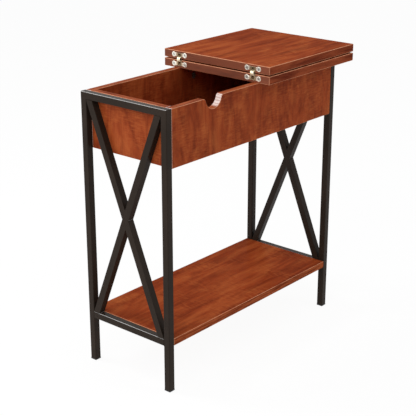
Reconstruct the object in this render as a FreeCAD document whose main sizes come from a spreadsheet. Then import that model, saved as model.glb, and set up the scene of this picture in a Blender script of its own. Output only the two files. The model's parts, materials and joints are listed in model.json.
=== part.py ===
import FreeCAD, Part
import os
import re
import Sketcher

# Flip-top table. X runs along the table, Y across it and Z up, with the floor at zero.
# The leaf is drawn as it lies when the table is open, turned over onto the fixed half.

sizes = {
    # whole table, with the top closed
    "table_height": 610,
    "top_length": 610,
    "top_width": 286,
    "top_thickness": 17,
    "joint_gap": 1.4,
    "fold_gap": 3,
    "band_thickness": 1.2,
    "band_bevel": 1,
    # steel end frames
    "frame_length": 554,
    "frame_width": 230,
    "tube_side": 15,
    "tube_wall": 1.2,
    "tube_corner": 1.6,
    "brace_width": 15,
    "foot_flange": 3,
    "foot_plug": 14,
    "foot_play": 0.2,
    # box and shelf
    "board_thickness": 15,
    "board_bevel": 0.7,
    "box_height": 118,
    "notch_radius": 24,
    "notch_shoulder": 8,
    "notch_inset": 122,
    "rail_level": 116,
    "shelf_rise": 0.5,
    "shelf_thickness": 15.5,
    # link hinges
    "hinge_inset": 43,
    "lobe_spacing": 31,
    "lobe_radius": 5.5,
    "plate_depth": 4,
    "plate_neck": 8,
    "cup_wall": 1.2,
    "cup_cheek": 2.3,
    "cup_recess": 1.1,
    "cup_play": 0.5,
    "mortise_play": 0.15,
    "pin_depth": 3,
    "pin_radius": 1.1,
    "pin_grip": 1.8,
    "pin_play": 0.05,
    "link_arm": 2,
    "link_width": 8,
    "link_thickness": 2.6,
    "link_eye_radius": 2.1,
    "link_side_play": 0.3,
    "spacer_width": 3,
    "spacer_height": 8,
    "spacer_play": 0.05,
    "rivet_radius": 0.7,
    # hinge screws
    "screw_head_radius": 3.5,
    "screw_head_height": 2.2,
    "screw_radius": 1.6,
    "screw_length": 16,
    "recess_width": 0.9,
    "recess_span": 3.6,
    "recess_depth": 1.2,
    # bolts between the box and the end frames
    "bolt_offset": 60,
    "bolt_radius": 3,
    "bolt_length": 26,
    "bolt_head_radius": 5.2,
    "bolt_head_height": 3.2,
    "bolt_socket_radius": 2,
    "bolt_socket_depth": 2.2,
    "insert_radius": 4.5,
    "insert_length": 10,
    # tabs and screws that carry the shelf
    "tab_offset": 62,
    "tab_width": 26,
    "tab_reach": 22,
    "tab_thickness": 2,
    "tab_weld_inset": 9,
    "tab_screw_radius": 2,
    "tab_screw_length": 11,
    "tab_screw_head_radius": 3.8,
    "tab_screw_head_height": 2.4,
    # cams, cam bolts and dowels between the boards
    "cam_radius": 7.5,
    "cam_depth": 12,
    "cam_setback": 24,
    "cam_bolt_radius": 2.5,
    "cam_bolt_thread": 10,
    "cam_bolt_head_radius": 3.4,
    "cam_bolt_head_height": 3,
    "cam_end_spread": 28,
    "cam_floor_spread": 150,
    "cam_top_first": 48,
    "cam_top_last": 218,
    "dowel_radius": 4,
    "dowel_length": 24,
    "dowel_floor_spread": 200,
    "dowel_top_place": 133,
    "bore_play": 0.1,
    # how far every cutter runs past the face that it cuts
    "cut_overrun": 2,
}

doc = FreeCAD.newDocument("FlipTopTable")
sheet = doc.addObject("Spreadsheet::Sheet", "Sizes")
for row, (alias, value) in enumerate(sizes.items(), start=1):
    sheet.set(f"A{row}", alias)
    sheet.set(f"B{row}", str(value))
    sheet.setAlias(f"B{row}", alias)
doc.recompute()

# Places that many pieces share, as formulas over the sheet.
table_middle = "((frame_length - top_length) / 4)"
post_top = "(table_height - top_thickness)"
post_x = "((frame_length - tube_side) / 2)"
post_y = "((frame_width - tube_side) / 2)"
inner_x = "(frame_length / 2 - tube_side)"
inner_y = "(frame_width / 2 - board_thickness)"
box_bottom = "(table_height - top_thickness - box_height)"
shelf_top = "(rail_level + shelf_rise)"
opening_height = "(table_height - top_thickness - tube_side - rail_level)"
opening_width = "(frame_width - 2 * tube_side)"
opening_diagonal = f"sqrt({opening_height} ^ 2 + {opening_width} ^ 2)"
fold_level = "(table_height + fold_gap / 2)"
edge_face = "(joint_gap / 2)"
panel_length = "((top_length - joint_gap) / 2)"
link_half = "(fold_gap / 2 + pin_depth)"
pin_x = link_half
pin_z = "(table_height - pin_depth)"
arc_x = f"({pin_x} - link_arm)"
plate_z = "(table_height - top_thickness / 2)"
hinge_y = "(top_width / 2 - hinge_inset)"
swing_reach = f"(link_arm + {link_half} + link_thickness / 2)"
mouth_bottom = f"({pin_z} - {swing_reach} - cup_play)"
mouth_back = f"({pin_x} + link_eye_radius + cup_play)"
mouth_half = "(link_width / 2 + link_side_play)"

directions = {
    "+X": ((0, 1, 0), 90),
    "-X": ((0, 1, 0), -90),
    "+Y": ((1, 0, 0), -90),
    "-Y": ((1, 0, 0), 90),
    "+Z": ((0, 0, 1), 0),
    "-Z": ((1, 0, 0), 180),
}
nodes = {}


def formula(text):
    """Spreadsheet aliases are the words with an underscore."""
    return re.sub(r"[a-z]+(?:_[a-z]+)+", lambda word: "Sizes." + word.group(), text)


def bind(thing, **texts):
    for name, text in texts.items():
        thing.setExpression(name, formula(text))


def place(thing, x="0", y="0", z="0", direction="+Z"):
    """Put a piece's own origin at a point, with its own Z axis along a direction."""
    axis, angle = directions[direction]
    rotation = FreeCAD.Rotation(FreeCAD.Vector(axis), angle)
    thing.Placement = FreeCAD.Placement(FreeCAD.Vector(), rotation)
    thing.setExpression("Placement.Base.x", formula(f"{table_middle} + ({x})"))
    thing.setExpression("Placement.Base.y", formula(y))
    thing.setExpression("Placement.Base.z", formula(z))
    return thing


def block(name, low, span):
    """A box from its lowest corner."""
    thing = doc.addObject("Part::Box", name)
    bind(thing, Length=span[0], Width=span[1], Height=span[2])
    return place(thing, *low)


def rod(name, start, direction, length, radius):
    thing = doc.addObject("Part::Cylinder", name)
    bind(thing, Height=length, Radius=radius)
    return place(thing, *start, direction)


def cone(name, start, direction, length, first_radius, last_radius):
    thing = doc.addObject("Part::Cone", name)
    bind(thing, Height=length, Radius1=first_radius, Radius2=last_radius)
    return place(thing, *start, direction)


def group(name, pieces):
    thing = doc.addObject("Part::Compound", name)
    thing.Links = pieces
    return thing


def fused(name, pieces):
    thing = doc.addObject("Part::MultiFuse", name)
    thing.Shapes = pieces
    return thing


def cut(name, base, tools):
    thing = doc.addObject("Part::Cut", name)
    thing.Base = base
    thing.Tool = tools[0] if len(tools) == 1 else group(name + "_tools", tools)
    return thing


def common(name, first, second):
    thing = doc.addObject("Part::Common", name)
    thing.Base = first
    thing.Tool = second
    return thing


def mirrored(name, source, normal):
    """Mirror in the plane across the table's middle, along it, or between the folded halves."""
    thing = doc.addObject("Part::Mirroring", name)
    thing.Source = source
    thing.Normal = FreeCAD.Vector(normal)
    thing.setExpression("Base.x", formula(table_middle))
    thing.setExpression("Base.z", formula(fold_level))
    return thing


def end_to_end(name, source):
    return mirrored(name, source, (1, 0, 0))


def front_to_back(name, source):
    return mirrored(name, source, (0, 1, 0))


def folded_over(name, source):
    return mirrored(name, source, (0, 0, 1))


def node(label, thing):
    """Name a finished piece, which is then written to its own file."""
    thing.Label = label
    nodes[label] = thing
    return thing


def new_sketch(body, name):
    sketch = body.newObject("Sketcher::SketchObject", name)
    plane = next(item for item in body.Origin.OriginFeatures if item.Role == "XY_Plane")
    sketch.AttachmentSupport = (plane, [""])
    sketch.MapMode = "FlatFace"
    return sketch


def centred_rectangle(sketch, across, deep):
    """A rectangle about the sketch's origin, drawn at unit size and then driven by two sizes."""
    corners = [(-1, -1), (1, -1), (1, 1), (-1, 1)]
    first = sketch.GeometryCount
    for side in range(4):
        start = FreeCAD.Vector(*corners[side], 0)
        end = FreeCAD.Vector(*corners[(side + 1) % 4], 0)
        sketch.addGeometry(Part.LineSegment(start, end), False)
    for side in range(4):
        after = first + (side + 1) % 4
        sketch.addConstraint(Sketcher.Constraint("Coincident", first + side, 2, after, 1))
    for side, kind in enumerate(["Horizontal", "Vertical", "Horizontal", "Vertical"]):
        sketch.addConstraint(Sketcher.Constraint(kind, first + side))
    sketch.addConstraint(Sketcher.Constraint("Symmetric", first, 1, first + 2, 1, -1, 1))
    spans = [("DistanceX", first, across), ("DistanceY", first + 1, deep)]
    for kind, side, text in spans:
        number = sketch.addConstraint(Sketcher.Constraint(kind, side, 1, side, 2, 1))
        sketch.setExpression(f"Constraints[{number}]", formula(text))


def padded(name, rectangles, thickness):
    """A body with one pad, centred on its own origin. A second rectangle is its bore."""
    body = doc.addObject("PartDesign::Body", name)
    sketch = new_sketch(body, name + "_outline")
    for across, deep in rectangles:
        centred_rectangle(sketch, across, deep)
    pad = body.newObject("PartDesign::Pad", name + "_pad")
    pad.Profile = sketch
    pad.SideType = "Symmetric"
    bind(pad, Length=thickness)
    doc.recompute()
    return body, pad


def bevel_all(body, base, size):
    chamfer = body.newObject("PartDesign::Chamfer", body.Name + "_bevel")
    chamfer.Base = (base, ["Edge1"])
    chamfer.UseAllEdges = True
    bind(chamfer, Size=size)
    body.Tip = chamfer
    return chamfer


def tube(name, length, across="tube_side"):
    """Square steel tube with rounded corners, along its own Z."""
    inside = (f"{across} - 2 * tube_wall", "tube_side - 2 * tube_wall")
    body, pad = padded(name, [(across, "tube_side"), inside], length)
    lengthwise = []
    for number, edge in enumerate(pad.Shape.Edges, start=1):
        run = edge.Vertexes[0].Point - edge.Vertexes[-1].Point
        if abs(run.z) > abs(run.x) + abs(run.y):
            spot = edge.Vertexes[0].Point
            lengthwise.append((abs(spot.x) + abs(spot.y), f"Edge{number}"))
    lengthwise.sort(reverse=True)
    fillet = body.newObject("PartDesign::Fillet", name + "_corners")
    fillet.Base = (pad, [edge_name for reach, edge_name in lengthwise[:4]])
    bind(fillet, Radius="tube_corner")
    body.Tip = fillet
    return body


def board(name, across, deep, thickness):
    """A board with its long edges and ends lightly bevelled."""
    body, pad = padded(name, [(across, deep)], thickness)
    bevel_all(body, pad, "board_bevel")
    return body


# Bores that the fittings need are gathered here, and cut out of every board at the end.
fitting_bores = []


def shifted(point, direction, distance):
    """A point moved along one axis."""
    axis = "XYZ".index(direction[1])
    moved = list(point)
    moved[axis] = f"{point[axis]} {direction[0]} ({distance})"
    return tuple(moved)


def reversed_direction(direction):
    return ("-" if direction[0] == "+" else "+") + direction[1]


def cam_joint(name, seam, inward, disc_mouth, disc_direction):
    """A cam bolt from one board into the edge of the next, and the cam that pulls it in.

    The seam is the point on the face where the boards meet, and inward points from it into
    the board that holds the cam. The mouth is the cam's centre on the face where it shows.
    """
    outward = reversed_direction(inward)
    thread = rod(name + "_thread", seam, outward, "cam_bolt_thread", "cam_bolt_radius")
    shank = rod(name + "_shank", seam, inward, "cam_setback", "cam_bolt_radius")
    head_start = shifted(seam, inward, "cam_setback - cam_bolt_head_height")
    head = rod(name + "_head", head_start, inward, "cam_bolt_head_height", "cam_bolt_head_radius")
    bolt = fused(name + "_bolt", [thread, shank, head])
    disc_body = rod(name + "_disc_body", disc_mouth, disc_direction, "cam_depth", "cam_radius")
    slot_radius = "cam_bolt_head_radius + bore_play"
    slot = rod(name + "_slot", seam, inward, "cam_setback + bore_play", slot_radius)
    key_place = shifted(disc_mouth, disc_direction, "recess_depth")
    key = padded(name + "_key", [("cam_radius", "recess_width")], "2 * recess_depth")[0]
    place(key, *key_place, disc_direction)
    disc = cut(name + "_disc", disc_body, [slot, key])
    disc_bore_start = shifted(disc_mouth, reversed_direction(disc_direction), "cut_overrun")
    fitting_bores.extend([
        rod(name + "_thread_bore", seam, outward, "cam_bolt_thread + bore_play",
            "cam_bolt_radius + bore_play"),
        rod(name + "_shank_bore", seam, inward, "cam_setback", slot_radius),
        rod(name + "_disc_bore", disc_bore_start, disc_direction,
            "cut_overrun + cam_depth + bore_play", "cam_radius + bore_play"),
    ])
    return bolt, disc


def dowel(name, seam, direction):
    """A wooden dowel, half in each board."""
    start = shifted(seam, direction, "-dowel_length / 2")
    bore_start = shifted(seam, direction, "-dowel_length / 2 - bore_play")
    fitting_bores.append(rod(name + "_bore", bore_start, direction,
                             "dowel_length + 2 * bore_play", "dowel_radius + bore_play"))
    return rod(name, start, direction, "dowel_length", "dowel_radius")


def end_frames():
    """Each end of the table is a welded frame: posts, rails and a cross of two braces."""
    post_length = f"{post_top} - foot_flange"
    full_post = tube("full_post", post_length)
    place(full_post, f"-{post_x}", f"-{post_y}", f"({post_top} + foot_flange) / 2")

    # The post and the top rail meet in a mitre, cut by blocks laid along its slope.
    def mitre_block(name, drop):
        thing = block(name, ("0", "0", "0"),
                      ("tube_side + 2 * cut_overrun", "2 * tube_side", "2 * tube_side"))
        place(thing, "-frame_length / 2 - cut_overrun", f"-frame_width / 2 - {drop}",
              f"{post_top} - {drop}")
        slope = FreeCAD.Rotation(FreeCAD.Vector(1, 0, 0), -45)
        thing.Placement = FreeCAD.Placement(thing.Placement.Base, slope)
        return thing

    post = cut("mitred_post", full_post, [mitre_block("above_mitre", "0")])
    full_rail = tube("full_top_rail", "frame_width")
    place(full_rail, f"-{post_x}", "0", f"{post_top} - tube_side / 2", "+Y")
    below = mitre_block("below_mitre", "sqrt(2) * tube_side")
    below_back = front_to_back("below_back_mitre", below)
    insert_bores = []
    for side in ("-", "+"):
        start = (f"-{inner_x} + cut_overrun", f"{side}bolt_offset", f"{post_top} - tube_side / 2")
        insert_bores.append(rod("insert_bore", start, "-X", "2 * cut_overrun + tube_wall",
                                "insert_radius + bore_play"))
    top_rail = cut("mitred_top_rail", full_rail, [below, below_back] + insert_bores)
    bottom_rail = tube("bottom_rail", opening_width)
    place(bottom_rail, f"-{post_x}", "0", "rail_level - tube_side / 2", "+Y")

    # The braces run from corner to corner of the opening, trimmed level by the two rails.
    lean = f"atan({opening_width} / {opening_height}) - asin(brace_width / {opening_diagonal})"
    brace_length = f"{opening_diagonal} + 2 * brace_width"
    middle = f"(rail_level + {opening_height} / 2)"

    def leaning(thing, sign):
        place(thing, f"-{post_x}", "0", middle)
        tilt = FreeCAD.Rotation(FreeCAD.Vector(1, 0, 0), 1)
        thing.Placement = FreeCAD.Placement(thing.Placement.Base, tilt)
        thing.setExpression("Placement.Rotation.Angle", formula(f"{sign}({lean})"))
        return thing

    def opening_block(name, bottom, height):
        low = (f"-{post_x} - tube_side", f"-{opening_width} / 2", bottom)
        return block(name, low, ("2 * tube_side", opening_width, height))

    def brace_tube(name, sign):
        body, pad = padded(name, [("tube_side", "brace_width"),
                                  ("tube_side - 2 * tube_wall", "brace_width - 2 * tube_wall")],
                           brace_length)
        return leaning(body, sign)

    whole = opening_block("brace_opening", "rail_level", opening_height)
    long_brace = common("long_brace", brace_tube("long_brace_tube", "-"), whole)
    core = padded("long_brace_core", [("2 * tube_side", "brace_width")], brace_length)[0]
    crossed = cut("crossed_tube", brace_tube("short_brace_tube", "+"), [leaning(core, "-")])
    half = f"{opening_height} / 2"
    upper = common("upper_brace", crossed, opening_block("upper_opening", middle, half))
    lower = common("lower_brace", crossed, opening_block("lower_opening", "rail_level", half))

    # Black plastic feet close the posts.
    flange = block("foot_flange", (f"-{post_x} - tube_side / 2", f"-{post_y} - tube_side / 2", "0"),
                   ("tube_side", "tube_side", "foot_flange"))
    plug_side = "tube_side - 2 * tube_wall - 2 * foot_play"
    plug = block("foot_plug", (f"-{post_x} - ({plug_side}) / 2", f"-{post_y} - ({plug_side}) / 2", "0"),
                 (plug_side, plug_side, "foot_flange + foot_plug"))
    foot = fused("foot", [flange, plug])

    node("left_front_post", post)
    node("left_back_post", front_to_back("left_back_post", post))
    node("left_front_foot", foot)
    node("left_back_foot", front_to_back("left_back_foot", foot))
    node("left_top_rail", top_rail)
    node("left_bottom_rail", bottom_rail)
    node("left_long_brace", long_brace)
    node("left_upper_brace", upper)
    node("left_lower_brace", lower)
    for label in [name for name in nodes if name.startswith("left_")]:
        twin = label.replace("left_", "right_", 1)
        node(twin, end_to_end(twin, nodes[label]))


def box_and_shelf():
    """Five boards make the box, and one more is the shelf. Holes come later."""
    run = f"2 * {inner_x}"
    wall_z = f"({post_top} - box_height / 2)"
    wall_y = "(frame_width / 2 - board_thickness / 2)"
    back = board("plain_back_board", run, "box_height", "board_thickness")
    place(back, "0", wall_y, wall_z, "-Y")

    front, pad = padded("plain_front_board", [(run, "box_height")], "board_thickness")
    sketch = new_sketch(front, "notch_outline")
    circle = sketch.addGeometry(Part.Circle(FreeCAD.Vector(), FreeCAD.Vector(0, 0, 1), 1), False)
    bounds = [("Radius", (circle,), "notch_radius"),
              ("DistanceX", (-1, 1, circle, 3), f"notch_inset - {inner_x}"),
              ("DistanceY", (-1, 1, circle, 3), "box_height / 2")]
    for kind, spots, text in bounds:
        number = sketch.addConstraint(Sketcher.Constraint(kind, *spots, 1))
        sketch.setExpression(f"Constraints[{number}]", formula(text))
    notch = front.newObject("PartDesign::Pocket", "notch")
    notch.Profile = sketch
    notch.Type = "ThroughAll"
    notch.SideType = "Symmetric"
    doc.recompute()
    # The two edges where the notch leaves the top of the board are rounded over.
    lips = []
    for number, edge in enumerate(notch.Shape.Edges, start=1):
        first, last = edge.Vertexes[0].Point, edge.Vertexes[-1].Point
        crosses = abs(first.z - last.z) > abs(first.x - last.x) + abs(first.y - last.y)
        reach = abs(first.x) < max(vertex.X for vertex in pad.Shape.Vertexes) * 0.99
        if crosses and reach:
            lips.append(f"Edge{number}")
    shoulders = front.newObject("PartDesign::Fillet", "notch_shoulders")
    shoulders.Base = (notch, lips)
    bind(shoulders, Radius="notch_shoulder")
    doc.recompute()
    bevel_all(front, shoulders, "board_bevel")
    place(front, "0", f"-{wall_y}", wall_z, "-Y")

    end = board("plain_end_board", "box_height", f"2 * {inner_y}", "board_thickness")
    place(end, f"-({inner_x} - board_thickness / 2)", "0", wall_z, "+X")
    floor = board("plain_floor", f"2 * ({inner_x} - board_thickness)", f"2 * {inner_y}",
                  "board_thickness")
    place(floor, "0", "0", f"{box_bottom} + board_thickness / 2")
    shelf = board("plain_shelf", run, "frame_width", "shelf_thickness")
    place(shelf, "0", "0", f"{shelf_top} - shelf_thickness / 2")
    return {"front_board": front, "back_board": back, "left_end_board": end,
            "right_end_board": end_to_end("plain_right_end", end),
            "box_floor": floor, "shelf": shelf}


def half_top():
    """One half of the top: a board with an edge band, cut out for both hinges."""
    centre = (f"({edge_face} + {panel_length} / 2)", "0", "(table_height - top_thickness / 2)")
    inner_length = f"{panel_length} - 2 * band_thickness"
    core = padded("top_core", [(inner_length, "top_width - 2 * band_thickness")],
                  "top_thickness")[0]
    place(core, *centre)
    band, pad = padded("top_band", [(panel_length, "top_width")], "top_thickness")
    bevel = bevel_all(band, pad, "band_bevel")
    opening = new_sketch(band, "band_opening")
    centred_rectangle(opening, inner_length, "top_width - 2 * band_thickness")
    ring = band.newObject("PartDesign::Pocket", "band_ring")
    ring.Profile = opening
    ring.Type = "ThroughAll"
    ring.SideType = "Symmetric"
    body_tip = ring
    band.Tip = body_tip
    place(band, *centre)
    doc.recompute()
    return core, band


def hinge_plate(name, play, depth_play, cup_top):
    """The outline of one hinge's let-in plate: two round lobes, a neck and a deep cup."""
    start = f"{edge_face} - {depth_play}"
    depth = f"plate_depth + {play} + {depth_play}"
    pieces = []
    for side in ("-", "+"):
        spot = (start, f"-{hinge_y} {side} lobe_spacing / 2", plate_z)
        pieces.append(rod(name + "_lobe", spot, "+X", depth, f"lobe_radius + {play}"))
    low = (start, f"-{hinge_y} - lobe_spacing / 2", f"{plate_z} - plate_neck / 2 - {play}")
    pieces.append(block(name + "_neck", low, (depth, "lobe_spacing", f"plate_neck + 2 * ({play})")))
    cup_half = f"({mouth_half} + cup_cheek + {play})"
    cup_low = f"({mouth_bottom} - cup_wall - {play})"
    pieces.append(block(name + "_cup", (start, f"-{hinge_y} - {cup_half}", cup_low),
                        (f"{mouth_back} + cup_wall + {play} - ({start})", f"2 * {cup_half}",
                         f"{cup_top} - {cup_low}")))
    return fused(name, pieces)


def countersunk_screw(name, head_radius, head_height, radius, length):
    """A cross-recess screw, with its head's face at its own origin and its point along Z."""
    head = doc.addObject("Part::Cone", name + "_head")
    bind(head, Radius1=head_radius, Radius2=radius, Height=head_height)
    shank = doc.addObject("Part::Cylinder", name + "_shank")
    bind(shank, Radius=radius, Height=length)
    arms = [("recess_span", "recess_width"), ("recess_width", "recess_span")]
    recess = [padded(f"{name}_recess_{across}", [(across, deep)], "2 * recess_depth")[0]
              for across, deep in arms]
    return cut(name, fused(name + "_blank", [head, shank]), recess)


def hinges(core, band):
    """Two link hinges join the halves. Each has a plate in each half and a C-shaped link."""
    plate = hinge_plate("plate_outline", "0", "0", "(table_height - cup_recess)")
    mouth = block("cup_mouth", (f"{edge_face} - cut_overrun", f"-{hinge_y} - {mouth_half}",
                                mouth_bottom),
                  (f"{mouth_back} - {edge_face} + cut_overrun", f"2 * {mouth_half}",
                   "top_thickness"))
    pin_half = f"({mouth_half} + pin_grip)"
    pin_start = (pin_x, f"-{hinge_y} - {pin_half}", pin_z)
    pin_hole_start = (pin_x, f"-{hinge_y} - {pin_half} - pin_play", pin_z)
    pin_hole = rod("cup_pin_hole", pin_hole_start, "+Y", f"2 * ({pin_half} + pin_play)",
                   "pin_radius + pin_play")
    holes, screws, pilots = [], [], []
    for side in ("-", "+"):
        spot = (edge_face, f"-{hinge_y} {side} lobe_spacing / 2", plate_z)
        holes.append(rod("plate_hole", spot, "+X", "plate_depth + cut_overrun",
                         "screw_radius + bore_play"))
        holes.append(cone("plate_sink", spot, "+X", "screw_head_height",
                          "screw_head_radius + bore_play", "screw_radius + bore_play"))
        pilots.append(rod("pilot", spot, "+X", "screw_length + bore_play",
                          "screw_radius + bore_play"))
        screw = countersunk_screw("hinge_screw", "screw_head_radius", "screw_head_height",
                                  "screw_radius", "screw_length")
        screws.append(place(screw, *spot, "+X"))
    near_plate = cut("near_plate", plate, [mouth, pin_hole] + holes)
    near_pin = rod("near_pin", pin_start, "+Y", f"2 * {pin_half}", "pin_radius")

    mortise = hinge_plate("mortise", "mortise_play", "cut_overrun", "(table_height + cut_overrun)")
    near_pocket = group("near_pocket", [mortise] + pilots)
    pockets = [near_pocket, front_to_back("far_pocket", near_pocket)]
    cut_core = cut("hinged_core", core, pockets)
    cut_band = cut("hinged_band", band, pockets)

    near_screws = group("near_screws", screws)
    far_screws = front_to_back("far_screws", near_screws)
    fixed_screws = node("fixed_hinge_screws", group("fixed_hinge_screws", [near_screws, far_screws]))
    node("leaf_hinge_screws", folded_over("leaf_hinge_screws", fixed_screws))
    far_plate = front_to_back("far_plate", near_plate)
    far_pin = front_to_back("far_pin", near_pin)
    pairs = [("near", near_plate, near_pin), ("far", far_plate, far_pin)]
    for place_name, plate_piece, pin_piece in pairs:
        node(f"{place_name}_hinge_fixed_plate", plate_piece)
        node(f"{place_name}_hinge_fixed_pin", pin_piece)
        leaf_plate = f"{place_name}_hinge_leaf_plate"
        leaf_pin = f"{place_name}_hinge_leaf_pin"
        node(leaf_plate, folded_over(leaf_plate, plate_piece))
        node(leaf_pin, folded_over(leaf_pin, pin_piece))
    hinge_links()
    return cut_core, cut_band


def hinge_links():
    """A link is two brass side plates with a spacer between, riveted at the top of its bow."""
    outer_radius = f"({link_half} + link_thickness / 2)"
    inner_radius = f"({link_half} - link_thickness / 2)"

    def bow(name, low, width, height):
        """Half a ring about the middle of the fold, bulging away from the top."""
        centre = (arc_x, low, fold_level)
        disc = rod(name + "_disc", centre, "+Y", width, outer_radius)
        hollow_start = (arc_x, f"{low} - cut_overrun", fold_level)
        hollow = rod(name + "_hollow", hollow_start, "+Y", f"{width} + 2 * cut_overrun",
                     inner_radius)
        side = block(name + "_side", (f"{arc_x} - {outer_radius}", low, f"{fold_level} - {height} / 2"),
                     (outer_radius, width, height))
        return common(name, cut(name + "_ring", disc, [hollow]), side)

    plates = []
    rivet_place = f"{arc_x} - {link_half}"
    plate_width = "((link_width - spacer_width) / 2 - spacer_play)"
    for side, low in (("near", f"(-{hinge_y} - link_width / 2)"),
                      ("far", f"(-{hinge_y} + spacer_width / 2 + spacer_play)")):
        pieces = [bow(f"{side}_bow", low, plate_width, f"2 * ({outer_radius})")]
        for level in (pin_z, f"({pin_z} + 2 * {link_half})"):
            pieces.append(block(f"{side}_arm", (arc_x, low, f"{level} - link_thickness / 2"),
                                ("link_arm", plate_width, "link_thickness")))
            pieces.append(rod(f"{side}_eye", (pin_x, low, level), "+Y", plate_width,
                              "link_eye_radius"))
        start = f"{low} - cut_overrun"
        long = f"{plate_width} + 2 * cut_overrun"
        holes = [rod(f"{side}_eye_hole", (pin_x, start, level), "+Y", long, "pin_radius + pin_play")
                 for level in (pin_z, f"({pin_z} + 2 * {link_half})")]
        holes.append(rod(f"{side}_rivet_hole", (rivet_place, start, fold_level), "+Y", long,
                         "rivet_radius + spacer_play"))
        plates.append(cut(f"{side}_link_plate", fused(f"{side}_link_blank", pieces), holes))
    near_plates = group("near_link_plates", plates)
    spacer_low = f"(-{hinge_y} - spacer_width / 2)"
    spacer_blank = bow("spacer_blank", spacer_low, "spacer_width", "spacer_height")
    spacer_hole = rod("spacer_hole", (rivet_place, f"{spacer_low} - cut_overrun", fold_level), "+Y",
                      "spacer_width + 2 * cut_overrun", "rivet_radius + spacer_play")
    near_spacer = cut("near_spacer", spacer_blank, [spacer_hole])
    near_rivet = rod("near_rivet", (rivet_place, f"-{hinge_y} - link_width / 2", fold_level),
                     "+Y", "link_width", "rivet_radius")
    kinds = [("link_plates", near_plates), ("link_spacer", near_spacer), ("link_rivet", near_rivet)]
    for kind, near in kinds:
        node(f"near_{kind}", near)
        node(f"far_{kind}", front_to_back(f"far_{kind}", near))


def frame_bolts(holes):
    """Button-head bolts hold the box's ends to threaded inserts in the two top rails."""
    bolts, inserts = [], []
    for sign, inward in (("-", "-X"), ("+", "+X")):
        for side in ("-", "+"):
            face = (f"{sign}({inner_x} - board_thickness)", f"{side}bolt_offset",
                    f"{post_top} - tube_side / 2")
            outward = reversed_direction(inward)
            head = rod("bolt_head", face, outward, "bolt_head_height", "bolt_head_radius")
            shank = rod("bolt_shank", face, inward, "bolt_length", "bolt_radius")
            socket_start = shifted(face, outward, "bolt_head_height - bolt_socket_depth")
            socket = rod("bolt_socket", socket_start, outward, "bolt_socket_depth + cut_overrun",
                         "bolt_socket_radius")
            bolts.append(cut("frame_bolt", fused("bolt_blank", [head, shank]), [socket]))
            holes.append(rod("bolt_bore", shifted(face, outward, "cut_overrun"), inward,
                             "board_thickness + 2 * cut_overrun", "bolt_radius + bore_play"))
            seat = (f"{sign}{inner_x}", face[1], face[2])
            sleeve = rod("insert_sleeve", seat, inward, "insert_length", "insert_radius")
            thread = rod("insert_thread", shifted(seat, outward, "cut_overrun"), inward,
                         "insert_length + 2 * cut_overrun", "bolt_radius + pin_play")
            inserts.append(cut("threaded_insert", sleeve, [thread]))
    node("frame_bolts", group("frame_bolts", bolts))
    node("threaded_inserts", group("threaded_inserts", inserts))


def shelf_tabs(holes):
    """Tabs under the bottom rails carry the shelf, with a screw up through each.

    A pad on each tab fills the step up to the rail when the shelf's underside is lower.
    """
    underside = f"({shelf_top} - shelf_thickness)"
    tab_bottom = f"({underside} - tab_thickness)"
    pad_length = "(tube_side - tab_weld_inset)"
    screws = []
    for label, sign, tab_low, pad_low in (
            ("left", "-", "-frame_length / 2 + tab_weld_inset", "-frame_length / 2 + tab_weld_inset"),
            ("right", "+", f"{inner_x} - tab_reach", inner_x)):
        tabs = []
        for side in ("-", "+"):
            tab_edge = f"{side}tab_offset - tab_width / 2"
            plate = block("tab_plate", (tab_low, tab_edge, tab_bottom),
                          (f"{pad_length} + tab_reach", "tab_width", "tab_thickness"))
            pad = block("tab_pad", (pad_low, tab_edge, tab_bottom),
                        (pad_length, "tab_width", f"rail_level - tube_side - {tab_bottom}"))
            tab = fused("tab", [plate, pad])
            spot = (f"{sign}({inner_x} - tab_reach / 2)", f"{side}tab_offset", tab_bottom)
            bore_start = shifted(spot, "-Z", "cut_overrun")
            tab_hole = rod("tab_hole", bore_start, "+Z", "tab_thickness + 2 * cut_overrun",
                           "tab_screw_radius + bore_play")
            tabs.append(cut("shelf_tab", tab, [tab_hole]))
            head = rod("tab_screw_head", spot, "-Z", "tab_screw_head_height",
                       "tab_screw_head_radius")
            shank = rod("tab_screw_shank", spot, "+Z", "tab_screw_length", "tab_screw_radius")
            arms = [padded(f"tab_screw_{across}", [(across, deep)], "2 * recess_depth")[0]
                    for across, deep in (("recess_span", "recess_width"),
                                         ("recess_width", "recess_span"))]
            for arm in arms:
                place(arm, spot[0], spot[1], f"{spot[2]} - tab_screw_head_height")
            screws.append(cut("shelf_screw", fused("tab_screw_blank", [head, shank]), arms))
            holes.append(rod("shelf_pilot", bore_start, "+Z",
                             "cut_overrun + tab_screw_length + bore_play",
                             "tab_screw_radius + bore_play"))
        node(f"{label}_shelf_tabs", group(f"{label}_shelf_tabs", tabs))
    node("shelf_screws", group("shelf_screws", screws))


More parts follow.
